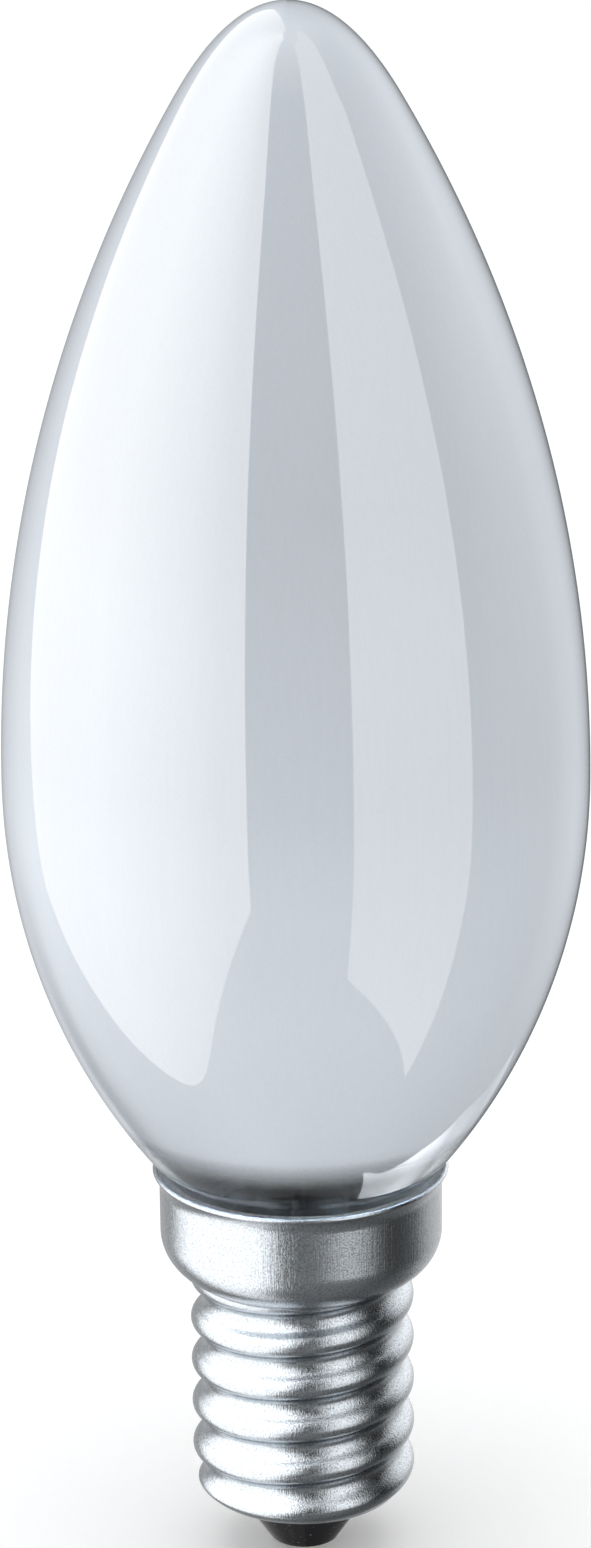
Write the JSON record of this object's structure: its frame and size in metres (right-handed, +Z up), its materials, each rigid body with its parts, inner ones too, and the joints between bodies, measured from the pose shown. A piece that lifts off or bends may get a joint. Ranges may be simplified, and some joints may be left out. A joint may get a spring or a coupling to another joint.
{
  "type": "candle bulb",
  "caption": "Frosted candle-shaped filament bulb: blown glass envelope, glass stem with leads and filament, and a small rolled metal screw cap with a black insulator and a centre contact.",
  "frame": {"origin": "on the axis, at the flat of solder under the centre contact", "axes": "+Z up the axis from the contact to the tip of the glass; the leads lie in a plane close to Y"},
  "size_m": [0.035, 0.035, 0.0962],
  "materials": {
    "frosted_glass": "glossy outside, etched inside, clear in a narrow band above the cap",
    "cap_metal": "bright rolled sheet with a fine grain",
    "black_glass": "glossy black moulded glass",
    "contact_brass": "stamped plate",
    "solder": "dull solder",
    "cement": "baked capping cement",
    "clear_glass": "clear drawn glass",
    "lead_wire": "drawn wire",
    "tungsten": "coiled wire"
  },
  "bodies": {
    "root": {"glass_envelope": "frosted_glass", "screw_shell": "cap_metal", "insulator": "black_glass", "centre_contact": "contact_brass", "tip_solder": "solder", "rim_solder": "solder", "capping_cement": "cement", "stem_glass": "clear_glass", "lead_wire_centre": "lead_wire", "lead_wire_side": "lead_wire", "support_wire": "lead_wire", "filament": "tungsten"}
  },
  "joints": []
}
